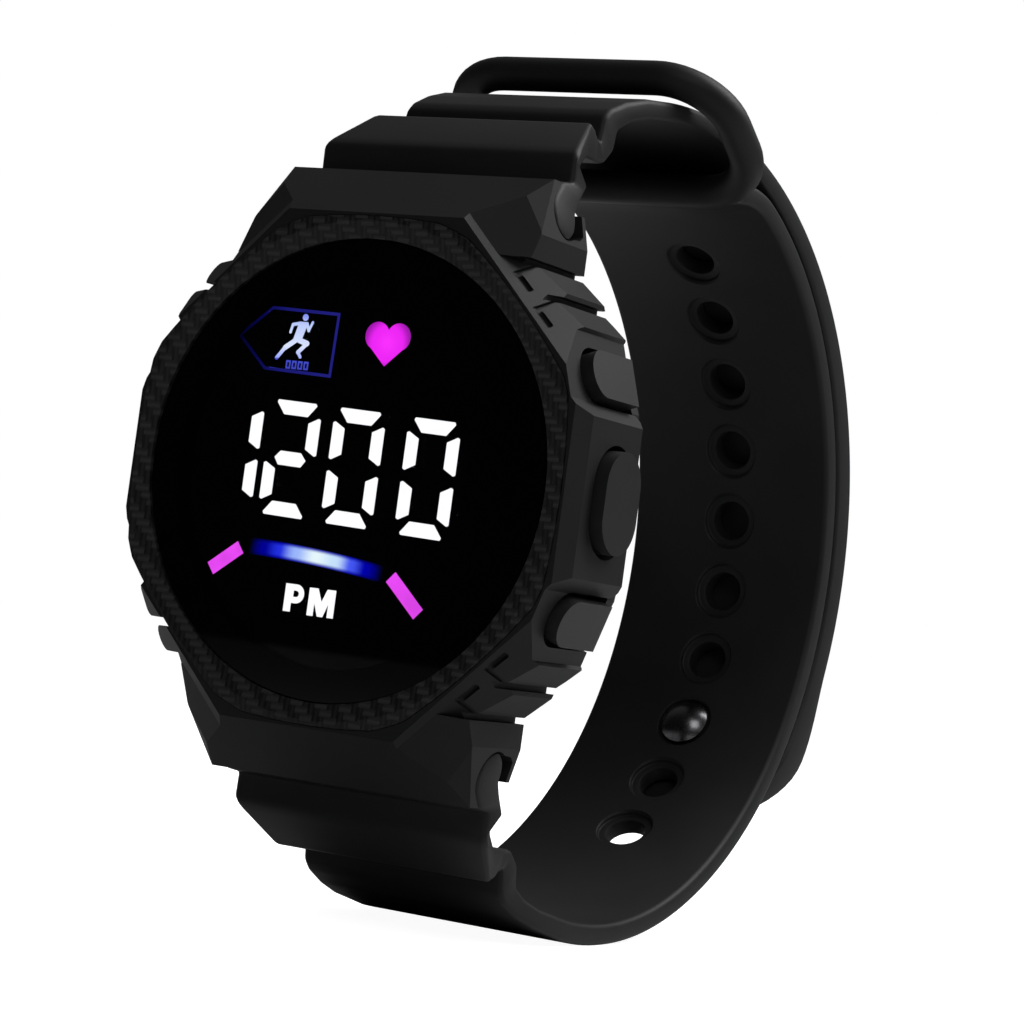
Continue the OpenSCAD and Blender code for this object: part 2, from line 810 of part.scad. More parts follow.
module accent_2d() {
    translate([-10.2, -7.7]) rotate(37) square([3.2, 1.1], center = true);
    translate([6.4, -8.85]) rotate(-42) square([3.8, 1.1], center = true);
}

// Lit window of the mask
module lit_plate() {
    front_prism(front_y + mask_top, front_y + mask_top + mask_t) children();
}

module display_mask() color(black)
    difference() {
        y_rod(mask_r, front_y + mask_top, front_y + mask_top + mask_t);
        front_prism(front_y, front_y + mask_top + mask_t + over) {
            time_2d();
            pm_2d();
            heart_2d();
            activity_2d();
            light_arc_2d();
            accent_2d();
        }
    }

module time_segments() color(lit_white) lit_plate() time_2d();
module pm_mark() color(lit_white) lit_plate() pm_2d();
module heart_icon() color(lit_pink) lit_plate() heart_2d();
module activity_icon() color(lit_blue) lit_plate() activity_2d();
module light_arc() color(lit_blue) lit_plate() light_arc_2d();
module accent_bars() color(lit_pink) lit_plate() accent_2d();

module mask_spacer() color([0.9, 0.9, 0.9])
    y_ring(mask_r, mask_r - ring_wall, front_y + mask_top + mask_t, front_y + display_board_top);

module display_board() color(board_green)
    y_rod(board_r, front_y + display_board_top, front_y + display_board_low);

icon_chips = [
    [1.85, 10], [-6.3, 10], [-9.6, 9.6], [-3, 9.6], [-10.25, -7.6], [6.4, -8.85], [-5.5, -6.6], [-1.9, -6.6],
    [1.7, -6.9], [-3.8, -10.1], [-1, -10.2]
];

// One chip behind every segment, and the ones behind the icons
module led_chips() color([0.95, 0.9, 0.6]) {
    y = front_y + display_board_top - chip_t / 2;
    for (i = [0:3], s = digits_lit[i])
        translate([digits_x[i] + segment_place(s)[0], y, digits_z + segment_place(s)[1]])
            cube([1.2, chip_t, 0.8], center = true);
    for (p = icon_chips)
        translate([p[0], y, p[1]]) cube([1.2, chip_t, 0.8], center = true);
}

module board_spacer() color([0.2, 0.2, 0.22])
    y_ring(board_r, board_r - ring_wall, front_y + display_board_low, front_y + main_board_top);

module board_pins() color([0.85, 0.7, 0.3])
    for (i = [0:7])
        translate([(i - 3.5) * 1.27, 0, 12.5])
            y_rod(0.25, front_y + display_board_low, front_y + main_board_top);

module main_board() color(board_green)
    y_rod(board_r, front_y + main_board_top, front_y + main_board_low);

module controller_chip() color([0.08, 0.08, 0.08])
    translate([-3, front_y + main_board_top - 0.5, 2])
        cube([6, 1, 6], center = true);

module quartz_crystal() color(steel)
    translate([2, front_y + main_board_top - 0.7, -4])
        x_rod(0.7, 0, 5.5);

module at_pushers() {
    for (side = [-1, 1]) at_facet(side) children(0);
    at_guard() children(1);
}

// Side-press switch on the main board, for a pusher with the given seat depth
module tact_switch(seat) {
    face = seat + tip_past_seat + fit_gap + pusher_travel + 0.15;
    h = 2.5;
    difference() {
        translate([-face - switch_len, front_y + main_board_low, -switch_w / 2])
            cube([switch_len, h, switch_w]);
        translate([0, stem_axis_y, 0]) x_rod(plunger_r + run_gap, -face - 1.4, -face + over);
    }
}

module tact_switches() color([0.3, 0.3, 0.32])
    at_pushers() {
        tact_switch(side_seat);
        tact_switch(centre_seat);
    }

// Side of the holder that is left open for the switches
holder_open_x = 7.5;
holder_open_h = 20.4;

module battery_holder() color([0.85, 0.85, 0.82])
    difference() {
        y_rod(board_r, front_y + main_board_low, front_y + main_board_low + holder_t);
        y_rod(cell_r + 0.15, front_y, 0);
        translate([holder_open_x, front_y, -holder_open_h / 2]) cube([cavity_r, case_t, holder_open_h]);
        for (s = [-1, 1])
            translate([-s * 2, 0, s * 12.6])
                y_rod(0.5, front_y + main_board_low + 0.6, 0);
    }

module coin_cell() color(steel)
    union() {
        y_rod(cell_r, front_y + main_board_low + 0.3, front_y + main_board_low + cell_t + 0.1);
        y_rod(cell_r - 1.6, front_y + main_board_low, front_y + main_board_low + 0.4);
    }

clip_y = front_y + main_board_low + holder_t;

module battery_clip() color(steel)
    difference() {
        rotate([0, 9, 0]) translate([-2, clip_y, -13.8]) cube([4, clip_t, 27.6]);
        for (s = [-1, 1]) translate([-s * 2, 0, s * 12.6]) y_rod(0.55, front_y, 0);
    }

module clip_screws() color(steel)
    for (s = [-1, 1])
        translate([-s * 2, 0, s * 12.6]) {
            y_rod(0.48, clip_y - 1.8, clip_y + clip_t);
            y_rod(0.95, clip_y + clip_t, clip_y + clip_t + 0.35);
        }

module cushion_pad() color([0.3, 0.3, 0.32])
    y_rod(cavity_r - 1.2, rear_y - pad_t, rear_y);

// Pushers, drawn in their own frames

module pusher_stem(seat) {
    translate([0, stem_axis_y, 0])
        difference() {
            x_rod(stem_r, -seat - tip_past_seat, -cap_depth);
            difference() {
                x_rod(stem_r + over, -seat - clip_gap - clip_w - 0.02, -seat - clip_gap + 0.02);
                x_rod(clip_groove_r, -seat - 1, -seat + 1);
            }
        }
}

module pusher_clip(seat) {
    translate([-seat - clip_gap - clip_w, stem_axis_y, 0])
        rotate([0, 90, 0])
            difference() {
                cylinder(r = clip_r, h = clip_w);
                translate([0, 0, -over]) cylinder(r = clip_groove_r + 0.02, h = clip_w + 2 * over);
                translate([-clip_groove_r, 0, -over]) cube([2 * clip_groove_r, clip_r + over, clip_w + 2 * over]);
            }
}

module switch_plunger(seat) {
    tip = seat + tip_past_seat + fit_gap;
    translate([0, stem_axis_y, 0]) x_rod(plunger_r, -tip - pusher_travel - 0.65, -tip);
}

module pusher_seal(seat) {
    translate([-seal_depth(seat), stem_axis_y, 0])
        rotate([0, 90, 0])
            rotate_extrude() translate([stem_r + seal_gap + seal_r, 0]) circle(seal_r, $fn = 24);
}

module pusher_seals() color([0.15, 0.15, 0.16])
    at_pushers() {
        pusher_seal(side_seat);
        pusher_seal(centre_seat);
    }

module side_pusher() {
    cap_prism(-cap_depth, pusher_rise) side_cap_2d(0, side_cap_rear);
    pusher_stem(side_seat);
}

module upper_pusher() color(black) at_facet(1) side_pusher();
module lower_pusher() color(black) at_facet(-1) side_pusher();
module centre_pusher() color(black)
    at_guard() {
        cap_prism(-cap_depth, pusher_rise) centre_cap_2d(0);
        pusher_stem(centre_seat);
    }

module upper_pusher_clip() color(steel) at_facet(1) pusher_clip(side_seat);
module lower_pusher_clip() color(steel) at_facet(-1) pusher_clip(side_seat);
module centre_pusher_clip() color(steel) at_guard() pusher_clip(centre_seat);
module upper_switch_plunger() color([0.8, 0.2, 0.2]) at_facet(1) switch_plunger(side_seat);
module lower_switch_plunger() color([0.8, 0.2, 0.2]) at_facet(-1) switch_plunger(side_seat);
module centre_switch_plunger() color([0.8, 0.2, 0.2]) at_guard() switch_plunger(centre_seat);

// Spring bars

tube_half = ear_in - 0.3;
tip_in = 6;
tip_out = ear_out - 0.1;

module bar_tube() {
    at_bar() difference() {
        x_rod(bar_r, -tube_half, tube_half);
        x_rod(tip_r + fit_gap, -tube_half - over, tube_half + over);
    }
}

module bar_tips() {
    at_bar() {
        x_rod(tip_r, -tip_out, -tip_in);
        x_rod(tip_r, tip_in, tip_out);
    }
}

module bar_spring() {
    at_bar() x_rod(tip_r - 0.05, -tip_in, tip_in);
}

module upper_spring_bar() color(steel) bar_tube();
module upper_bar_tips() color(steel) bar_tips();
module upper_bar_spring() color(steel) bar_spring();
module lower_spring_bar() color(steel) mirror([0, 0, 1]) bar_tube();
module lower_bar_tips() color(steel) mirror([0, 0, 1]) bar_tips();
module lower_bar_spring() color(steel) mirror([0, 0, 1]) bar_spring();

// Straps

// Width of the strap, seen from above: wide at the lug, narrower past the blocks
module strap_width() {
    right = [for (p = concat(block_widths, [[loop_depth + 20, band_w / 2]])) [p[1], bar_y + p[0]]];
    left = [for (i = [len(right) - 1:-1:0]) [-right[i][0], right[i][1]]];
    translate([0, 0, -60])
        linear_extrude(120)
            polygon(concat(right, left));
    both_ends() front_prism(bar_y - 5, bar_y + 15) lug_outline_2d(shoulder_z);
}

// Cuts for the spring bar and the case ears, at 12 o'clock
module strap_end_cuts() {
    at_bar() {
        x_rod(bar_r + run_gap, -ear_in, ear_in);
        for (s = [-1, 1])
            translate([s * (ear_in + ear_out) / 2, 0, -0.5])
                cube([ear_out - ear_in + 2 * ear_gap, 7, 5], center = true);
    }
}

module strap_knuckle() {
    at_bar() x_rod(knuckle_r, -lug_r, lug_r);
}

function tail_point(angle) =
    loop_point(tail_out_a + pad_height(angle), tail_out_b + pad_height(angle), angle);

// Corners beside the round tip of the outer strap
module strap_tip_cut() {
    at_stud() rotate([0, 90, 0])
        difference() {
            translate([0, -band_w, -tip_cut_reach]) cube([band_w, 2 * band_w, 2 * tip_cut_reach]);
            translate([0, 0, -tip_cut_reach - over]) cylinder(d = band_w, h = 2 * (tip_cut_reach + over));
        }
}

// Outer strap: blocks at the lug, then the long band, and a pad round the stud
module upper_strap() color(black) {
    pad_start = stud_angle + pad_half_angle;
    steps = 14;
    difference() {
        intersection() {
            union() {
                side_prism(lug_w)
                    polygon(concat(
                        from_bar(block_outer),
                        loop_arc(tail_out_a, tail_out_b, block_end_angle, pad_start),
                        [for (i = [1:steps]) tail_point(pad_start + (tail_end_angle - pad_start) * i / steps)],
                        loop_arc(tail_in_a, tail_in_b, tail_end_angle, block_end_angle),
                        from_bar(block_inner)
                    ));
                strap_knuckle();
            }
            strap_width();
        }
        strap_end_cuts();
        strap_tip_cut();
        at_stud() {
            x_rod(stud_neck_d / 2 + 0.02, -over, tail_t + pad_rise + over);
            x_rod(stud_plate_d / 2 + fit_gap, stud_plate_x, tail_t + pad_rise + over);
        }
    }
}

// Closure stud: a domed head inside the wrist, and a neck through the hole and the outer strap
module closure_stud() color(steel)
    at_stud() {
        x_rod(stud_neck_d / 2, -neck_reach, stud_plate_x);
        intersection() {
            translate([-neck_reach - stud_head_t + stud_dome_r, 0, 0]) sphere(r = stud_dome_r);
            x_rod(stud_head_d / 2, -neck_reach - stud_head_t - over, -neck_reach);
        }
    }

module stud_base() color(steel)
    at_stud() x_rod(stud_plate_d / 2, stud_plate_x, stud_plate_x + stud_plate_t);

// Loop of rod with round corners, in its own tilted plane
module strap_ring() {
    half_w = ring_w / 2 - ring_corner_r;
    half_len = ring_len / 2 - ring_corner_r;
    translate([0, ring_bar_y, ring_bar_z])
        rotate([ring_tilt, 0, 0])
            translate([0, -ring_len / 2, 0])
                for (s = [0, 180])
                    rotate([0, 0, s]) {
                        for (t = [0, 90])
                            translate([t == 0 ? half_w : -half_w, half_len, 0])
                                rotate([0, 0, t])
                                    rotate_extrude(angle = 90)
                                        translate([ring_corner_r, 0]) circle(ring_rod_r, $fn = 32);
                        translate([0, ring_len / 2, 0]) x_rod(ring_rod_r, -half_w, half_w);
                        translate([ring_w / 2, 0, 0]) y_rod(ring_rod_r, -half_len, half_len);
                    }
}

module band_holes() {
    for (i = [0:hole_count - 1]) {
        angle = hole_first_angle - i * hole_angle;
        at_band(loop_a, loop_b, angle) {
            x_rod(hole_d / 2, -over, band_t + over);
            x_rod(hole_rim_d / 2, -over, rim_depth);
        }
    }
}

module lower_strap() color(black)
    difference() {
        union() {
            intersection() {
                union() {
                    side_prism(lug_w)
                        polygon(concat(
                            below(from_bar(block_outer)),
                            loop_arc(band_out_a, band_out_b, -block_end_angle, ring_web_angle),
                            [[ring_bar_y, ring_bar_z + ring_rod_r * 0.8], [ring_bar_y, ring_bar_z - ring_rod_r * 0.8]],
                            loop_arc(loop_a, loop_b, ring_web_angle, -block_end_angle),
                            below(from_bar(block_inner))
                        ));
                    mirror([0, 0, 1]) strap_knuckle();
                }
                strap_width();
            }
            strap_ring();
        }
        mirror([0, 0, 1]) strap_end_cuts();
        band_holes();
    }

case_body();
bezel();
display_glass();
glass_gasket();
display_mask();
time_segments();
pm_mark();
activity_icon();
heart_icon();
light_arc();
accent_bars();
mask_spacer();
display_board();
led_chips();
board_spacer();
board_pins();
main_board();
controller_chip();
quartz_crystal();
tact_switches();
battery_holder();
coin_cell();
battery_clip();
clip_screws();
cushion_pad();
back_gasket();
back_cover();
back_screws();
pusher_seals();
upper_pusher();
upper_pusher_clip();
upper_switch_plunger();
centre_pusher();
centre_pusher_clip();
centre_switch_plunger();
lower_pusher();
lower_pusher_clip();
lower_switch_plunger();
upper_spring_bar();
upper_bar_tips();
upper_bar_spring();
lower_spring_bar();
lower_bar_tips();
lower_bar_spring();
upper_strap();
closure_stud();
stud_base();
lower_strap();
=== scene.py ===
import json
import math

import bmesh
import bpy
from mathutils import Matrix, Vector


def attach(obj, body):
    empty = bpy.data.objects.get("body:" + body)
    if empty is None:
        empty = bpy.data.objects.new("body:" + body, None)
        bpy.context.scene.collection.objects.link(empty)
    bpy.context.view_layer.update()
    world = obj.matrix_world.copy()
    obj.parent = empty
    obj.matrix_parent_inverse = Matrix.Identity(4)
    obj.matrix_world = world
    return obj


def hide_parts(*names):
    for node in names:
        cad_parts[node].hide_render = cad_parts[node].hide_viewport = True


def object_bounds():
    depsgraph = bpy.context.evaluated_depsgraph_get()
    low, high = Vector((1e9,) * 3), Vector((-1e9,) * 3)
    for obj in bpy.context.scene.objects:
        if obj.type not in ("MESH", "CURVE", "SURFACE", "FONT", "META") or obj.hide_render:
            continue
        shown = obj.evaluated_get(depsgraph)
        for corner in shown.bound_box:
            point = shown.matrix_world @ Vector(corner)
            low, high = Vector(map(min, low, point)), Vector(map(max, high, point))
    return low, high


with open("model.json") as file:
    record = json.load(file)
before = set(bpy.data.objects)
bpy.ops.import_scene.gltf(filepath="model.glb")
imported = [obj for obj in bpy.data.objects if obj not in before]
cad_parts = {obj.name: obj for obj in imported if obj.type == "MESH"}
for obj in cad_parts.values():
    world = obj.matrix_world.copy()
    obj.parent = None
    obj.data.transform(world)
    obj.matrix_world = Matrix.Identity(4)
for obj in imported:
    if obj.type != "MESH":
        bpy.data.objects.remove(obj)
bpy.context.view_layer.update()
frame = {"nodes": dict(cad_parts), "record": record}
nodes = frame["nodes"]

MM = 0.001

# Sizes are in millimetres and angles in degrees
# The front of the watch faces -Y, its 12 o'clock side +Z and its pushers +X

# Spring bars and lug hoods, with how far past its end and behind the bar the strap follows a hood

BAR_Y = -4.7
BAR_Z = 21.5
KNUCKLE_R = 1.8
LUG_HALF = 13.05
HOOD_ROOT_Z = 19.3
HOOD_END_Z = 24.0
HOOD_END_HALF = 11.9
HOOD_GAP = 0.05
HOOD_PAST = 0.35
HOOD_DEPTH = 6
EAR_X = 10.5
EAR_SLOT_HALF = 0.9
EAR_SLOT_BACK = 3.5
EAR_SLOT_IN = 3
EAR_SLOT_OUT = 2

# Underside and sides of the knuckle, which turns on the spring bar

KNUCKLE_FLAT_HALF = 0.4
KNUCKLE_FLAT = -1.755
KNUCKLE_HEIGHTS = (-1.5, -1.0, -0.3)
KNUCKLE_TOP = ((-1.72, 0.55), (KNUCKLE_R, 0.1))

# Strap profile at the lug as (outer point, inner point), each one as (back, out) from the spring bar

BLOCK_KEYS = [
    ((-1.236, 1.308), (1.8, 0.4)), ((0.16, 2.63), (2.6, 1.37)), ((1.9, 2.9), (3.6, 2.39)),
    ((1.9, 5.1), (4.1, 2.9)), ((2.5, 5.7), (4.1, 4.4)), ((6.4, 8.5), (6.1, 5.7)),
    ((7.5, 8.2), (8.0, 5.83)), ((8.1, 7.7), (9.4, 5.92)), ((9.5, 7.7), (10.6, 6.0)),
    ((9.8, 9.7), (11.7, 7.1)), ((10.5, 10.4), (12.0, 8.9)), ((12.8, 11.5), (13.5, 9.9)),
    ((15.7, 12.4), (15.7, 10.7)),
]
KEY_ROUND_R = 0.3
KEY_ROUND_SHARE = 0.35

# Half widths of the strap as (distance behind the spring bar, half width)

BLOCK_HALVES = [(-10, 11.7), (1.9, 11.7), (6.3, 10.2), (8.1, 9.8), (9.5, 9.4), (12, 9.5), (16, 10)]
BAND_HALF = 10.0

# Edge rounding across the strap

EDGE_R = 0.45
EDGE_SHARE = 0.42
EDGE_POINTS = 4

# Closed strap: ellipses as (half depth, half height) round one centre, all of them tilted by LOOP_TILT

LOOP_Y = 21.6
LOOP_Z = -1.15
LOOP_TILT = 0.8
BAND_IN = (35.4, 32.4)
BAND_OUT = (37.7, 34.2)
TAIL_IN = (38.0, 34.55)
TAIL_OUT = (41.1, 36.15)
BLOCK_END = 100
STATION_STEP = 1.6

# Holes, and the one that the stud sits in

HOLE_FIRST = 53.7
HOLE_PITCH = 7
HOLE_STEP = math.degrees(HOLE_PITCH / ((BAND_IN[0] + BAND_IN[1]) / 2))
HOLE_COUNT = 10
STUD_HOLE = 7
STUD_ANGLE = HOLE_FIRST - STUD_HOLE * HOLE_STEP
HOLE_R = 1.8
RIM_R = 2.5

# Profile of a hole as (depth, added radius): depths start at the wrist side, and the mouth's at the outer side

RIM_KEYS = [(-1.0, 0.25), (-0.06, 0.22), (0.03, 0.1), (0.12, 0.03), (0.32, 0), (0.38, -0.06), (0.4, -0.14)]
NECK_KEYS = [(0.41, 0.18), (0.46, 0.06), (0.56, 0)]
MOUTH_KEYS = [(-0.2, 0), (-0.05, 0.1), (0.05, 0.25), (0.6, 0.4)]
HOLE_POINTS = 32

# Outer strap's free end, and the pad that rises over its stud

TAIL_END = STUD_ANGLE - 14
TAIL_TIP = 1.2
TAIL_MEAN_R = 36
TAIL_TIP_HALF = 1
PAD_RISE = 1.1
PAD_HALF_ANGLE = 14

# Rounded tip as (share of the last step, share off the outside, share off the inside, narrower by)

TAIL_ROUNDS = [(0.6, 0.08, 0.05, 0.35), (1.0, 0.25, 0.2, 0.9)]

# Loop on the end of the holed strap, and the web that leads to its rod

WEB_ANGLE = 65.2
WEB_BEND = 3.5
WEB_STEPS = 8
WEB_NARROWER = 0.25
WEB_ROD_SHARE = 0.8
RING_ROD_R = 1.45
RING_W = 25.5
RING_LEN = 13.8
RING_CORNER_R = 5.5
RING_TILT = -32
RING_Y = LOOP_Y + 6.65
RING_Z = LOOP_Z + BAND_IN[1] - 1.71
RING_CORNER_STEP = 7.5
ROD_SIDES = 24
WELD = 0.0001

# Display: points are (x, z), and the arc, the tag and the runner change colour along their spans

GLASS_CLEAR_R = 15.2
ARC_R = 95
ARC_TURN = -4.4
ARC_MIDDLE = (-1.87, -6.81)
ARC_CENTRE = (
    ARC_MIDDLE[0] + ARC_R * math.sin(math.radians(ARC_TURN)),
    ARC_MIDDLE[1] - ARC_R * math.cos(math.radians(ARC_TURN)),
)
ARC_HALF_W = 0.65
ARC_SPAN = (-7.9, 5.1)
ARC_SLOPE = -0.077
HEART_CENTRE = (1.85, 10.0)
HEART_REACH = 2.1
TAG_SPAN = (-12.0, -2.7)
RUNNER_X = (-8.6, -4.0)
RUNNER_Z = (7.4, 11.8)
RUNNER_MARGIN = 0.01

# Surface grain

BUMP_DEPTH = 0.02
TOW_W = 0.55
TOW_DEPTH = 0.08
TWILL_COUNT = 4.0
TWILL_OVER = 1.5

# Bevels that soften the edges of CAD nodes

BEVELS = {"case_body": 0.18, "bezel": 0.15, "upper_pusher": 0.3, "centre_pusher": 0.5, "lower_pusher": 0.3}
BEVEL_SEGMENTS = 2
BEVEL_ANGLE = 28
FLAT_ANGLE = 0.5
STRAP_SMOOTH_ANGLE = 32
LOOP_SMOOTH_ANGLE = 40

# Camera at the photograph's angle: place in metres, directions to its right and its back, lens in millimetres

CAMERA_PLACE = (0.12691, -0.20762, -0.01105)
CAMERA_RIGHT = (0.8637, 0.4859, 0.1337)
CAMERA_BACK = (0.4947, -0.8681, -0.0412)
CAMERA_LENS = 108.04
CAMERA_SENSOR = 36

# Half side of the floor in metres

FLOOR_HALF = 1.5

# Nodes that look unlike the rest of their material slot

LOOKS = {
    "activity_icon": "lit_tag",
    "heart_icon": "lit_heart",
    "glass_gasket": "mask_black",
    "mask_spacer": "mask_black",
}


def new_object(name, data):
    obj = bpy.data.objects.new(name, data)
    bpy.context.collection.objects.link(obj)
    return obj


def make_camera():
    data = bpy.data.cameras.new("camera")
    data.sensor_width = CAMERA_SENSOR
    data.lens = CAMERA_LENS
    data.clip_start = 0.01
    data.clip_end = 5
    cam = new_object("camera", data)
    right = Vector(CAMERA_RIGHT).normalized()
    back = Vector(CAMERA_BACK).normalized()
    up = back.cross(right).normalized()
    right = up.cross(back)
    turn = Matrix((right, up, back)).transposed().to_4x4()
    cam.matrix_world = Matrix.Translation(CAMERA_PLACE) @ turn
    bpy.context.scene.camera = cam


# Node helpers

def new_material(name):
    mat = bpy.data.materials.new(name)
    mat.use_nodes = True
    tree = mat.node_tree
    shader = tree.nodes["Principled BSDF"]
    return mat, tree, shader


def add(tree, kind, **settings):
    node = tree.nodes.new(kind)
    for key, value in settings.items():
        setattr(node, key, value)
    return node


def feed(tree, socket, value):
    """Gives a socket the output of another node, or a fixed value."""
    if isinstance(value, bpy.types.NodeSocket):
        tree.links.new(value, socket)
    else:
        socket.default_value = value


def object_coords(tree, scale=1.0):
    """Object coordinates in millimetres times a scale."""
    coords = add(tree, "ShaderNodeTexCoord")
    mapping = add(tree, "ShaderNodeMapping")
    factor = scale / MM
    mapping.inputs["Scale"].default_value = (factor, factor, factor)
    tree.links.new(coords.outputs["Object"], mapping.inputs["Vector"])
    return mapping.outputs["Vector"]


def math_node(tree, operation, *values):
    node = add(tree, "ShaderNodeMath", operation=operation)
    for socket, value in zip(node.inputs, values):
        feed(tree, socket, value)
    return node.outputs[0]


def mix(tree, kind, factor, a, b, blend="MIX"):
    """Mix of two colours, kind RGBA, or of two numbers, kind FLOAT."""
    node = add(tree, "ShaderNodeMix", data_type=kind, blend_type=blend)
    for name, value in (("Factor", factor), ("A", a), ("B", b)):
        feed(tree, node.inputs[name], value)
    return node.outputs["Result"]


def ramp(tree, source, stops, smooth=False):
    """Colour ramp from (position, colour) stops."""
    node = add(tree, "ShaderNodeValToRGB")
    if smooth:
        node.color_ramp.interpolation = "EASE"
    while len(node.color_ramp.elements) < len(stops):
        node.color_ramp.elements.new(0.5)
    for element, (position, colour) in zip(node.color_ramp.elements, stops):
        element.position = position
        element.color = (*colour, 1)
    tree.links.new(source, node.inputs["Fac"])
    return node.outputs["Color"]


def value_range(tree, source, span, source_span=(0.0, 1.0)):
    """Carries a value from its own span over to another one."""
    node = add(tree, "ShaderNodeMapRange")
    node.inputs["From Min"].default_value = source_span[0]
    node.inputs["From Max"].default_value = source_span[1]
    node.inputs["To Min"].default_value = span[0]
    node.inputs["To Max"].default_value = span[1]
    tree.links.new(source, node.inputs["Value"])
    return node.outputs["Result"]


def share_of(tree, source, source_span):
    """How far a value has come along its span, from 0 to 1."""
    return value_range(tree, source, (0.0, 1.0), source_span)


def between(tree, value, low, high):
    """1 where a value lies between two bounds, 0 elsewhere."""
    above = math_node(tree, "GREATER_THAN", value, low)
    below = math_node(tree, "LESS_THAN", value, high)
    return math_node(tree, "MULTIPLY", above, below)


def noise(tree, vector, scale, detail=3.0):
    node = add(tree, "ShaderNodeTexNoise")
    node.inputs["Scale"].default_value = scale
    node.inputs["Detail"].default_value = detail
    tree.links.new(vector, node.inputs["Vector"])
    return node.outputs["Fac"]


def bump(tree, shader, height, strength, depth=BUMP_DEPTH):
    node = add(tree, "ShaderNodeBump")
    node.inputs["Strength"].default_value = strength
    node.inputs["Distance"].default_value = depth * MM
    tree.links.new(height, node.inputs["Height"])
    tree.links.new(node.outputs["Normal"], shader.inputs["Normal"])


def plane_parts(tree):
    """X and Z of a point of the display, in millimetres."""
    parts = add(tree, "ShaderNodeSeparateXYZ")
    tree.links.new(object_coords(tree), parts.inputs[0])
    return parts.outputs["X"], parts.outputs["Z"]


def distance_from(tree, x, z, centre):
    """Distance in the display's plane from a point given as (x, z) in millimetres."""
    off_x = math_node(tree, "SUBTRACT", x, centre[0])
    off_z = math_node(tree, "SUBTRACT", z, centre[1])
    square_x = math_node(tree, "POWER", off_x, 2.0)
    square_z = math_node(tree, "POWER", off_z, 2.0)
    return math_node(tree, "SQRT", math_node(tree, "ADD", square_x, square_z))


# Materials

def moulded(name, dark, light, rough, grain=2.0, specular=0.5):
    """Moulded plastic or rubber: slight mottling, fine grain, uneven gloss."""
    mat, tree, shader = new_material(name)
    vector = object_coords(tree)
    cloud = noise(tree, vector, 0.12)
    fine = noise(tree, vector, grain, 2.0)
    tree.links.new(ramp(tree, cloud, [(0.3, dark), (0.7, light)]), shader.inputs["Base Color"])
    tree.links.new(value_range(tree, cloud, rough), shader.inputs["Roughness"])
    shader.inputs["Specular IOR Level"].default_value = specular
    bump(tree, shader, fine, 0.15)
    return mat


def metal(name, colour, rough):
    mat, tree, shader = new_material(name)
    vector = object_coords(tree)
    streak = noise(tree, vector, 1.5, 4.0)
    dull = [c * 0.85 for c in colour]
    tree.links.new(ramp(tree, streak, [(0.3, dull), (0.7, colour)]), shader.inputs["Base Color"])
    tree.links.new(value_range(tree, streak, rough), shader.inputs["Roughness"])
    shader.inputs["Metallic"].default_value = 1.0
    bump(tree, shader, streak, 0.1)
    return mat


def carbon_weave(name):
    """Twill of flat tows under a satin coat, laid over the front of the bezel, with painted sheen on the
    over-tows and a painted highlight along each tow's crown.
    """
    mat, tree, shader = new_material(name)
    vector = object_coords(tree, 1 / TOW_W)
    parts = add(tree, "ShaderNodeSeparateXYZ")
    tree.links.new(vector, parts.inputs[0])
    x, z = parts.outputs["X"], parts.outputs["Z"]
    diagonal = math_node(tree, "ADD", math_node(tree, "FLOOR", x), math_node(tree, "FLOOR", z))
    place = math_node(tree, "FLOORED_MODULO", diagonal, TWILL_COUNT)
    over = math_node(tree, "LESS_THAN", place, TWILL_OVER)
    across_x = math_node(tree, "PINGPONG", x, 0.5)
    across_z = math_node(tree, "PINGPONG", z, 0.5)
    crown = math_node(tree, "MULTIPLY", mix(tree, "FLOAT", over, across_x, across_z), 2.0)
    # Painted light: over-tows are coloured lighter as painted sheen, and each tow is lighter at its crown and
    # darker at its sides as a painted highlight; the crown also drives a real bump
    over_tow_sheen = math_node(tree, "MULTIPLY", over, 0.45)
    crown_highlight = math_node(tree, "MULTIPLY", crown, 0.5)
    shade = math_node(tree, "ADD", over_tow_sheen, crown_highlight)
    colour = ramp(tree, shade, [(0.1, (0.004, 0.004, 0.004)), (0.95, (0.022, 0.022, 0.023))])
    tree.links.new(colour, shader.inputs["Base Color"])
    tree.links.new(value_range(tree, over, (0.4, 0.55)), shader.inputs["Roughness"])
    shader.inputs["Specular IOR Level"].default_value = 0.25
    bump(tree, shader, crown, 0.6, TOW_DEPTH)
    return mat


def display_glass_material(name):
    """Clear glass with a black printed border round the display."""
    mat, tree, shader = new_material(name)
    smudge = noise(tree, object_coords(tree), 0.15)
    tree.links.new(value_range(tree, smudge, (0.01, 0.03)), shader.inputs["Roughness"])
    x, z = plane_parts(tree)
    clear = math_node(tree, "LESS_THAN", distance_from(tree, x, z, (0, 0)), GLASS_CLEAR_R)
    colour = ramp(tree, clear, [(0.0, (0.0005, 0.0005, 0.0005)), (1.0, (0.75, 0.75, 0.78))])
    tree.links.new(colour, shader.inputs["Base Color"])
    tree.links.new(clear, shader.inputs["Transmission Weight"])
    shader.inputs["IOR"].default_value = 1.36
    return mat


def glow(tree, shader, colour, strength):
    shader.inputs["Base Color"].default_value = (0.002, 0.002, 0.002, 1)
    shader.inputs["Specular IOR Level"].default_value = 0.0
    tree.links.new(colour, shader.inputs["Emission Color"])
    shader.inputs["Emission Strength"].default_value = strength


def lit(name, colour, strength, dimmest):
    """Lit light guide: even light with a slight unevenness."""
    mat, tree, shader = new_material(name)
    cloud = noise(tree, object_coords(tree), 0.6, 1.0)
    dim = [c * dimmest for c in colour]
    glow(tree, shader, ramp(tree, cloud, [(0.3, dim), (0.6, colour)]), strength)
    return mat


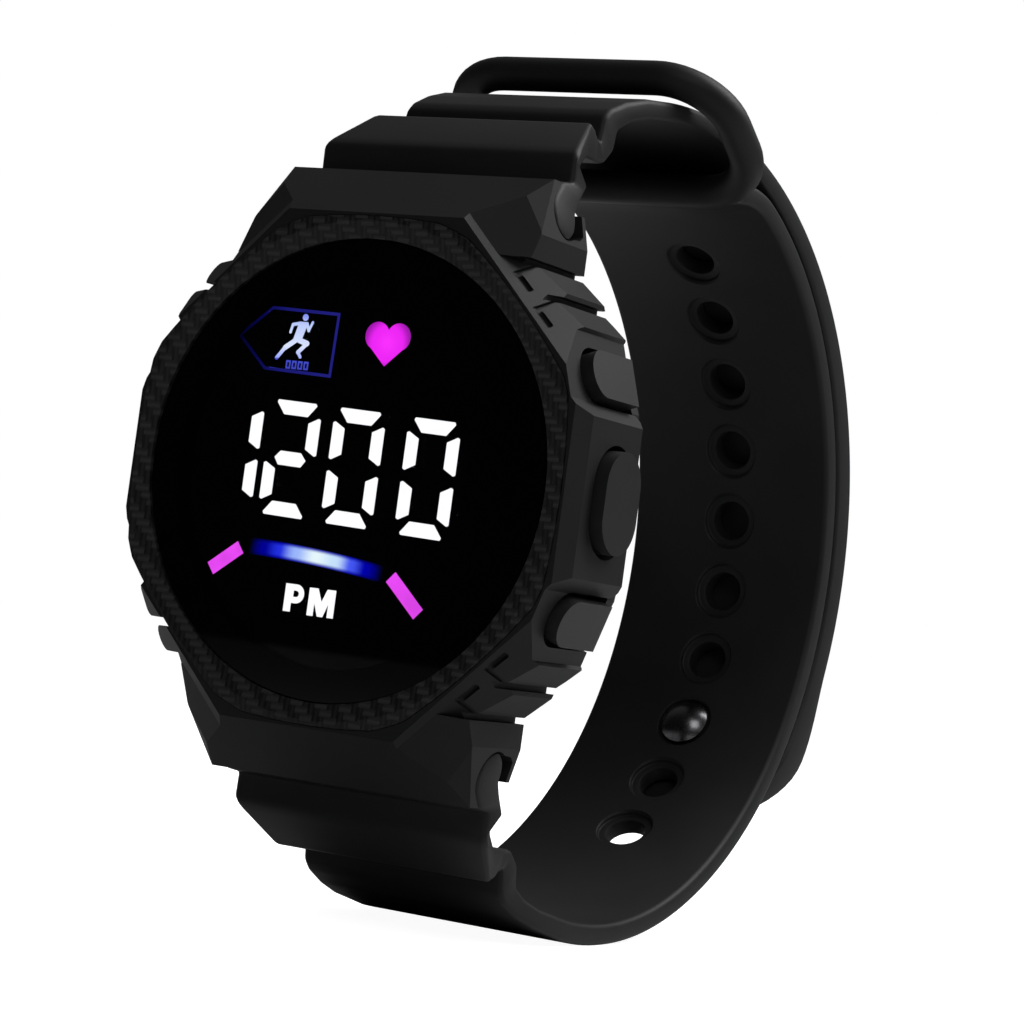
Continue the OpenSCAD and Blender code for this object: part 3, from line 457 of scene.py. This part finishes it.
def lit_arc(name, strength):
    """Light that fades along a shallow arc from white through blue to dark, with soft long edges."""
    mat, tree, shader = new_material(name)
    x, z = plane_parts(tree)
    place = math_node(tree, "ADD", x, math_node(tree, "MULTIPLY", z, ARC_SLOPE))
    along = ramp(tree, share_of(tree, place, ARC_SPAN), [
        (0.02, (0.0, 0.0, 0.0)), (0.13, (0.0, 0.0, 0.3)), (0.24, (0.015, 0.03, 0.75)),
        (0.36, (0.35, 0.5, 1.0)), (0.5, (0.85, 1.0, 1.0)), (0.64, (0.6, 0.8, 1.0)),
        (0.75, (0.06, 0.1, 0.9)), (0.85, (0.0, 0.0, 0.4)), (0.98, (0.0, 0.0, 0.0)),
    ], smooth=True)
    radius = distance_from(tree, x, z, ARC_CENTRE)
    off = math_node(tree, "ABSOLUTE", math_node(tree, "SUBTRACT", radius, ARC_R))
    across = ramp(tree, share_of(tree, off, (0.0, ARC_HALF_W)), [
        (0.5, (1, 1, 1)), (0.85, (0.1, 0.1, 0.5)), (1.0, (0.0, 0.0, 0.1)),
    ])
    glow(tree, shader, mix(tree, "RGBA", 1.0, along, across, "MULTIPLY"), strength)
    return mat


def lit_heart(name, strength):
    """Magenta that dims towards the outline."""
    mat, tree, shader = new_material(name)
    x, z = plane_parts(tree)
    reach = share_of(tree, distance_from(tree, x, z, HEART_CENTRE), (0.0, HEART_REACH))
    colour = ramp(tree, reach, [
        (0.0, (0.95, 0.03, 0.95)), (0.6, (0.85, 0.02, 0.88)), (1.0, (0.35, 0.01, 0.4)),
    ], smooth=True)
    glow(tree, shader, colour, strength)
    return mat


def lit_tag(name, strength):
    """Blue frame that fades to the left, pale blue runner and blue noughts."""
    mat, tree, shader = new_material(name)
    x, z = plane_parts(tree)
    frame_colour = ramp(tree, share_of(tree, x, TAG_SPAN), [
        (0.0, (0.0, 0.0, 0.01)), (0.25, (0.002, 0.002, 0.06)),
        (0.5, (0.01, 0.01, 0.16)), (1.0, (0.015, 0.015, 0.2)),
    ])
    runner_colour = ramp(tree, share_of(tree, z, RUNNER_Z), [
        (0.0, (0.05, 0.06, 0.5)), (0.17, (0.06, 0.08, 0.6)), (0.19, (0.35, 0.42, 1.0)),
        (0.4, (0.75, 0.82, 1.0)), (0.8, (0.55, 0.65, 1.0)), (1.0, (0.2, 0.25, 0.9)),
    ])
    inside_x = between(tree, x, *RUNNER_X)
    inside_z = between(tree, z, RUNNER_Z[0] + RUNNER_MARGIN, RUNNER_Z[1] - RUNNER_MARGIN)
    inside = math_node(tree, "MULTIPLY", inside_x, inside_z)
    glow(tree, shader, mix(tree, "RGBA", inside, frame_colour, runner_colour), strength)
    return mat


def make_materials():
    return {
        "case_black": moulded(
            "case_black", dark=(0.008, 0.008, 0.0085), light=(0.011, 0.011, 0.0115),
            rough=(0.46, 0.54), specular=0.12,
        ),
        "carbon_black": carbon_weave("carbon_black"),
        "glass": display_glass_material("glass"),
        "mask_black": moulded(
            "mask_black", dark=(0.0002, 0.0002, 0.0002), light=(0.0004, 0.0004, 0.0004),
            rough=(0.6, 0.7), specular=0.0,
        ),
        "lit_white": lit("lit_white", (1.0, 1.0, 1.0), strength=1.42, dimmest=0.98),
        "lit_blue": lit_arc("lit_blue", strength=1.3),
        "lit_tag": lit_tag("lit_tag", strength=1.3),
        "lit_pink": lit("lit_pink", (0.81, 0.069, 0.88), strength=1.4, dimmest=0.85),
        "lit_heart": lit_heart("lit_heart", strength=1.4),
        "white_plastic": moulded(
            "white_plastic", dark=(0.7, 0.7, 0.66), light=(0.8, 0.8, 0.76), rough=(0.4, 0.5),
        ),
        "board_green": moulded(
            "board_green", dark=(0.01, 0.12, 0.04), light=(0.02, 0.18, 0.07), rough=(0.3, 0.45),
        ),
        "pin_brass": metal("pin_brass", (0.8, 0.6, 0.25), rough=(0.25, 0.35)),
        "steel": metal("steel", (0.55, 0.55, 0.57), rough=(0.25, 0.4)),
        "rubber_black": moulded(
            "rubber_black", dark=(0.012, 0.012, 0.012), light=(0.02, 0.02, 0.02), rough=(0.6, 0.75),
        ),
        "button_black": moulded(
            "button_black", dark=(0.010, 0.010, 0.011), light=(0.013, 0.013, 0.014),
            rough=(0.4, 0.46), specular=0.18,
        ),
        "strap_rubber": moulded(
            "strap_rubber", dark=(0.008, 0.008, 0.0082), light=(0.011, 0.011, 0.0113),
            rough=(0.48, 0.58), grain=3.0, specular=0.15,
        ),
        "gunmetal": metal("gunmetal", (0.11, 0.11, 0.115), rough=(0.22, 0.32)),
    }


# Mesh helpers

def new_mesh(name, verts, faces):
    """Mesh from points in millimetres, with its faces turned outwards."""
    mesh = bpy.data.meshes.new(name)
    mesh.from_pydata([Vector(v) * MM for v in verts], [], faces)
    mesh.validate()
    bm = bmesh.new()
    bm.from_mesh(mesh)
    bmesh.ops.recalc_face_normals(bm, faces=bm.faces)
    bm.to_mesh(mesh)
    bm.free()
    return mesh


def make_piece(name, verts, faces, body, replaced, slot):
    """Makes a piece, rides it on a body, replaces CAD nodes by it and gives it its slot's material."""
    mesh = new_mesh(name, verts, faces)
    piece = new_object(name, mesh)
    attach(piece, body)
    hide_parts(*replaced)
    mesh.materials.append(materials[slot])
    return piece


def join_parts(parts):
    """Joins (verts, faces) lists into one."""
    verts, faces = [], []
    for part_verts, part_faces in parts:
        base = len(verts)
        verts += part_verts
        faces += [[i + base for i in face] for face in part_faces]
    return verts, faces


def shade_smooth(piece, angle):
    for polygon in piece.data.polygons:
        polygon.use_smooth = True
    piece.data.set_sharp_from_angle(angle=math.radians(angle))


def loft(rings, capped=True):
    """Skin over rings of the same number of points."""
    count = len(rings[0])
    verts = [v for ring in rings for v in ring]
    faces = []
    for i in range(len(rings) - 1):
        for j in range(count):
            k = (j + 1) % count
            faces.append([i * count + j, i * count + k, (i + 1) * count + k, (i + 1) * count + j])
    if capped:
        faces.append(list(range(count)))
        faces.append([(len(rings) - 1) * count + j for j in range(count)])
    return verts, faces


def cut(piece, parts, name):
    """Subtracts closed shapes, given as (verts, faces) in millimetres, from a piece's mesh."""
    tool = new_object(name, new_mesh(name, *join_parts(parts)))
    modifier = piece.modifiers.new("cut", "BOOLEAN")
    modifier.operation = "DIFFERENCE"
    modifier.solver = "EXACT"
    modifier.object = tool
    bpy.context.view_layer.update()
    evaluated = piece.evaluated_get(bpy.context.evaluated_depsgraph_get())
    result = bpy.data.meshes.new_from_object(evaluated)
    piece.modifiers.remove(modifier)
    piece.data = result
    bpy.data.objects.remove(tool)


# Strap profile

def loop_turn():
    return Matrix.Rotation(math.radians(LOOP_TILT), 2)


def loop_point(radii, angle):
    """Point of an ellipse of the closed strap, as (y, z)."""
    turn = math.radians(angle)
    along = Vector((radii[0] * math.cos(turn), radii[1] * math.sin(turn)))
    return Vector((LOOP_Y, LOOP_Z)) + loop_turn() @ along


def loop_normal(angle):
    """Direction out of the holed band, as (y, z)."""
    turn = math.radians(angle)
    outward = Vector((math.cos(turn) / BAND_IN[0], math.sin(turn) / BAND_IN[1])).normalized()
    return loop_turn() @ outward


def steps(start, end, step):
    """Even steps from start to end, both included, each one about a step long."""
    count = max(1, round(abs(end - start) / step))
    return [start + (end - start) * i / count for i in range(count + 1)]


def soften(points):
    """Rounds the inner corners of a line: each one becomes three points."""
    result = [points[0]]
    for before, corner, after in zip(points, points[1:], points[2:]):
        back = before - corner
        ahead = after - corner
        near = corner + back.normalized() * min(KEY_ROUND_R, back.length * KEY_ROUND_SHARE)
        far = corner + ahead.normalized() * min(KEY_ROUND_R, ahead.length * KEY_ROUND_SHARE)
        result += [near, near * 0.25 + corner * 0.5 + far * 0.25, far]
    return result + [points[-1]]


def lug_half(z):
    """Half width of the strap's root, which follows the lug hood's outline."""
    root_half = LUG_HALF - HOOD_GAP
    taper = (root_half - HOOD_END_HALF) / (HOOD_END_Z - HOOD_ROOT_Z)
    return min(root_half, HOOD_END_HALF + (HOOD_END_Z - abs(z)) * taper)


def strap_half(point):
    """Half width of the strap at a point (y, z) of its profile, which follows the lug hood up to its end."""
    y, z = point
    if abs(z) < HOOD_END_Z + HOOD_PAST and y < BAR_Y + HOOD_DEPTH:
        return lug_half(z)
    back = y - BAR_Y
    for (y0, w0), (y1, w1) in zip(BLOCK_HALVES, BLOCK_HALVES[1:]):
        if back < y1:
            return w0 + (w1 - w0) * (back - y0) / (y1 - y0)
    return BAND_HALF


def root_pairs(side):
    """Outer and inner points from the knuckle to the end of the blocks; side is 1 at 12 o'clock."""
    pairs = [((-KNUCKLE_FLAT_HALF, KNUCKLE_FLAT), (KNUCKLE_FLAT_HALF, KNUCKLE_FLAT))]
    for height in KNUCKLE_HEIGHTS:
        chord = math.sqrt(KNUCKLE_R ** 2 - height ** 2)
        pairs.append(((-chord, height), (chord, height)))
    pairs += [KNUCKLE_TOP] + BLOCK_KEYS
    outer = soften([Vector(o) for o, _ in pairs])
    inner = soften([Vector(i) for _, i in pairs])
    return [(root_point(o, side), root_point(i, side)) for o, i in zip(outer, inner)]


def root_point(key, side):
    """Point (y, z) of a key that is given as (back, out) from the spring bar."""
    return Vector((BAR_Y + key.x, side * (BAR_Z + key.y)))


def pad_height(angle):
    off = abs(angle - STUD_ANGLE) / PAD_HALF_ANGLE
    return PAD_RISE * (1 + math.cos(math.pi * off)) / 2 if off < 1 else 0.0


def tail_half(angle):
    """Half width of the outer strap, which ends in a half circle round its stud."""
    past = math.radians(STUD_ANGLE - angle) * TAIL_MEAN_R
    if past <= 0:
        return BAND_HALF
    return math.sqrt(max(BAND_HALF ** 2 - past ** 2, TAIL_TIP_HALF ** 2))


def section(outer, inner, outer_half, inner_half):
    """Rounded rectangle across the strap between an outer and an inner point of the profile."""
    across = inner - outer
    thick = across.length
    radius = min(EDGE_R, thick * EDGE_SHARE)
    ring = []
    for base, half, way in ((outer, outer_half, 1), (inner, inner_half, -1)):
        arc = []
        for k in range(EDGE_POINTS):
            turn = math.radians(90 / (EDGE_POINTS - 1) * k)
            depth = radius * (1 - math.cos(turn)) / thick
            point = base + across * depth * way
            arc.append((half - radius + radius * math.sin(turn), point.x, point.y))
        ring += arc if way > 0 else arc[::-1]
    for x, y, z in ring[::-1]:
        ring.append((-x, y, z))
    return ring


def root_stations(side):
    """Stations of a strap half from its knuckle to the end of its blocks."""
    return [(outer, inner, strap_half(outer), strap_half(inner)) for outer, inner in root_pairs(side)]


def upper_stations():
    """Stations of the outer strap, from its knuckle to the tip of its free end."""
    stations = root_stations(1)
    for angle in steps(BLOCK_END, TAIL_END + TAIL_TIP, STATION_STEP):
        rise = pad_height(angle)
        outer = loop_point((TAIL_OUT[0] + rise, TAIL_OUT[1] + rise), angle)
        inner = loop_point(TAIL_IN, angle)
        half = tail_half(angle)
        stations.append((outer, inner, half, half))
    across = inner - outer
    along = loop_point(TAIL_IN, TAIL_END) - loop_point(TAIL_IN, TAIL_END + TAIL_TIP)
    for ahead, off_outside, off_inside, narrower in TAIL_ROUNDS:
        tip_outer = outer + across * off_outside + along * ahead
        tip_inner = inner - across * off_inside + along * ahead
        stations.append((tip_outer, tip_inner, half - narrower, half - narrower))
    return stations


def web_point(radii, end, share):
    """Point of the curve that runs on from the band to the rod of the loop."""
    start = loop_point(radii, WEB_ANGLE)
    ahead = (start - loop_point(radii, WEB_ANGLE - 1)).normalized()
    bend = start + ahead * WEB_BEND
    return start.lerp(bend, share).lerp(bend.lerp(end, share), share)


def lower_stations():
    """Stations of the holed strap, from its knuckle to the rod of the loop."""
    stations = root_stations(-1)
    for angle in steps(-BLOCK_END, WEB_ANGLE, STATION_STEP):
        stations.append((loop_point(BAND_OUT, angle), loop_point(BAND_IN, angle), BAND_HALF, BAND_HALF))
    lift = RING_ROD_R * WEB_ROD_SHARE
    end_outer = Vector((RING_Y, RING_Z + lift))
    end_inner = Vector((RING_Y, RING_Z - lift))
    for share in steps(1 / WEB_STEPS, 1, 1 / WEB_STEPS):
        outer = web_point(BAND_OUT, end_outer, share)
        inner = web_point(BAND_IN, end_inner, share)
        half = BAND_HALF - WEB_NARROWER * share ** 2
        stations.append((outer, inner, half, half))
    return stations


# Cutters for the strap

def turned(profile, origin, axis):
    """Solid of revolution from (distance along the axis, radius) points; origin and axis are (y, z)."""
    side = Vector((-axis.y, axis.x))
    rings = []
    for along, radius in profile:
        centre = origin + axis * along
        ring = []
        for k in range(HOLE_POINTS):
            turn = 2 * math.pi * k / HOLE_POINTS
            offset = centre + side * radius * math.sin(turn)
            ring.append((radius * math.cos(turn), offset.x, offset.y))
        rings.append(ring)
    return loft(rings)


def band_hole(angle):
    """Hole with a shallow rim on the wrist side, and softened edges."""
    thick = (loop_point(BAND_OUT, angle) - loop_point(BAND_IN, angle)).length
    profile = [(depth, RIM_R + more) for depth, more in RIM_KEYS]
    profile += [(depth, HOLE_R + more) for depth, more in NECK_KEYS]
    profile += [(thick + past, HOLE_R + more) for past, more in MOUTH_KEYS]
    return turned(profile, loop_point(BAND_IN, angle), loop_normal(angle))


def box(low, high):
    corners = [(x, y, z) for x in (low[0], high[0]) for y in (low[1], high[1]) for z in (low[2], high[2])]
    faces = [[0, 1, 3, 2], [4, 6, 7, 5], [0, 4, 5, 1], [2, 3, 7, 6], [0, 2, 6, 4], [1, 5, 7, 3]]
    return corners, faces


def ear_slots(side):
    """Slots for the case's ears at the spring bar; side is 1 at 12 o'clock."""
    low_z, high_z = sorted((side * (BAR_Z - EAR_SLOT_IN), side * (BAR_Z + EAR_SLOT_OUT)))
    slots = []
    for ear_x in (-EAR_X, EAR_X):
        low = (ear_x - EAR_SLOT_HALF, BAR_Y - EAR_SLOT_BACK, low_z)
        high = (ear_x + EAR_SLOT_HALF, BAR_Y + EAR_SLOT_BACK, high_z)
        slots.append(box(low, high))
    return slots


# Loop of the strap

def ring_path():
    """Line of the loop's rod, flat: points as (x, y, outward x, outward y)."""
    half_w = RING_W / 2 - RING_CORNER_R
    half_len = RING_LEN / 2 - RING_CORNER_R
    path = []
    for corner, (side_x, side_y) in enumerate(((1, 1), (-1, 1), (-1, -1), (1, -1))):
        for turn in steps(90 * corner, 90 * corner + 90, RING_CORNER_STEP):
            out_x = math.cos(math.radians(turn))
            out_y = math.sin(math.radians(turn))
            x = side_x * half_w + RING_CORNER_R * out_x
            y = side_y * half_len + RING_CORNER_R * out_y
            path.append((x, y, out_x, out_y))
    return path


def strap_ring():
    """Rod bent to a rounded rectangle, in its tilted plane."""
    tilt = math.radians(RING_TILT)
    rings = []
    for x, y, out_x, out_y in ring_path():
        ring = []
        for k in range(ROD_SIDES):
            turn = 2 * math.pi * k / ROD_SIDES
            reach = RING_ROD_R * math.cos(turn)
            lift = RING_ROD_R * math.sin(turn)
            flat_y = y + out_y * reach - RING_LEN / 2
            ring.append((
                x + out_x * reach,
                RING_Y + flat_y * math.cos(tilt) - lift * math.sin(tilt),
                RING_Z + flat_y * math.sin(tilt) + lift * math.cos(tilt),
            ))
        rings.append(ring)
    rings.append(rings[0])
    return loft(rings, capped=False)


# Pieces of the strap

def make_upper_strap():
    verts, faces = loft([section(*station) for station in upper_stations()])
    strap = make_piece("outer_strap", verts, faces, "upper_strap_body", ["upper_strap"], "strap_rubber")
    cut(strap, ear_slots(1), "cutters_upper")
    shade_smooth(strap, STRAP_SMOOTH_ANGLE)


def make_lower_strap():
    verts, faces = loft([section(*station) for station in lower_stations()])
    strap = make_piece("holed_strap", verts, faces, "lower_strap_body", ["lower_strap"], "strap_rubber")
    holes = [band_hole(HOLE_FIRST - i * HOLE_STEP) for i in range(HOLE_COUNT)]
    cut(strap, holes + ear_slots(-1), "cutters_lower")
    shade_smooth(strap, STRAP_SMOOTH_ANGLE)


def make_strap_loop():
    """Loop, whose last ring of points is welded to its first."""
    verts, faces = strap_ring()
    ring = make_piece("strap_loop", verts, faces, "lower_strap_body", ["lower_strap"], "strap_rubber")
    bm = bmesh.new()
    bm.from_mesh(ring.data)
    bmesh.ops.remove_doubles(bm, verts=bm.verts, dist=WELD * MM)
    bm.to_mesh(ring.data)
    bm.free()
    shade_smooth(ring, LOOP_SMOOTH_ANGLE)


# CAD nodes that stay: softened edges and materials

def soften_edges(name, width):
    obj = nodes[name]
    flat = obj.modifiers.new("flatten", "DECIMATE")
    flat.decimate_type = "DISSOLVE"
    flat.angle_limit = math.radians(FLAT_ANGLE)
    bevel = obj.modifiers.new("bevel", "BEVEL")
    bevel.width = width * MM
    bevel.segments = BEVEL_SEGMENTS
    bevel.limit_method = "ANGLE"
    bevel.angle_limit = math.radians(BEVEL_ANGLE)
    bevel.use_clamp_overlap = False
    bevel.harden_normals = True
    bevel.miter_outer = "MITER_ARC"


def dress_nodes():
    slots = {part["node"]: part["material_slot"] for part in frame["record"]["subparts"]}
    for name, obj in nodes.items():
        for slot in obj.material_slots:
            slot.material = materials[LOOKS.get(name, slots[name])]


# Lights, floor and backdrop

def area_light(name, place, target, side, power):
    """Square white light: places and side in metres, power in watts."""
    data = bpy.data.lights.new(name, "AREA")
    data.shape = "SQUARE"
    data.size = side
    data.energy = power
    light = new_object(name, data)
    light.location = place
    light.rotation_euler = (Vector(target) - Vector(place)).to_track_quat("-Z", "Y").to_euler()


def make_lights():
    area_light("key", place=(0.2, 0.22, 0.4), target=(0, 0.02, 0), side=0.3, power=2.2)
    area_light("side", place=(0.3, 0.36, 0.34), target=(0.01, 0.0, 0.03), side=0.22, power=0.9)
    area_light("fill", place=(0.27, -0.36, 0.34), target=(0, 0.02, 0), side=0.25, power=0.8)


def make_world():
    """Dark surround, lighter above and behind the watch; the camera itself sees white."""
    world = bpy.data.worlds.new("world")
    world.use_nodes = True
    bpy.context.scene.world = world
    tree = world.node_tree
    background = tree.nodes["Background"]
    background.inputs["Strength"].default_value = 1.0
    coords = add(tree, "ShaderNodeTexCoord")
    parts = add(tree, "ShaderNodeSeparateXYZ")
    tree.links.new(coords.outputs["Generated"], parts.inputs[0])
    rise = math_node(tree, "ADD", parts.outputs["Y"], parts.outputs["Z"])
    surround = ramp(tree, share_of(tree, rise, (-1.0, 1.5)), [
        (0.35, (0.01, 0.01, 0.01)), (1.0, (0.2, 0.2, 0.205)),
    ], smooth=True)
    path = add(tree, "ShaderNodeLightPath")
    seen = mix(tree, "RGBA", path.outputs["Is Camera Ray"], surround, (1, 1, 1, 1))
    tree.links.new(seen, background.inputs["Color"])


def make_floor():
    """Floor under the watch, which the camera itself sees nearly white."""
    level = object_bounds()[0][2]
    corners = [(-1, -1), (1, -1), (1, 1), (-1, 1)]
    mesh = bpy.data.meshes.new("floor")
    mesh.from_pydata([(x * FLOOR_HALF, y * FLOOR_HALF, level) for x, y in corners], [], [[0, 1, 2, 3]])
    floor = new_object("floor", mesh)
    mat, tree, shader = new_material("floor")
    shader.inputs["Base Color"].default_value = (0.65, 0.65, 0.65, 1)
    shader.inputs["Roughness"].default_value = 0.9
    shader.inputs["Emission Color"].default_value = (1, 1, 1, 1)
    path = add(tree, "ShaderNodeLightPath")
    white = math_node(tree, "MULTIPLY", path.outputs["Is Camera Ray"], 0.95)
    tree.links.new(white, shader.inputs["Emission Strength"])
    mesh.materials.append(mat)


make_camera()
materials = make_materials()
dress_nodes()
make_upper_strap()
make_lower_strap()
make_strap_loop()
for name, width in BEVELS.items():
    soften_edges(name, width)
make_floor()
make_lights()
make_world()
bpy.context.scene.view_settings.view_transform = "Standard"
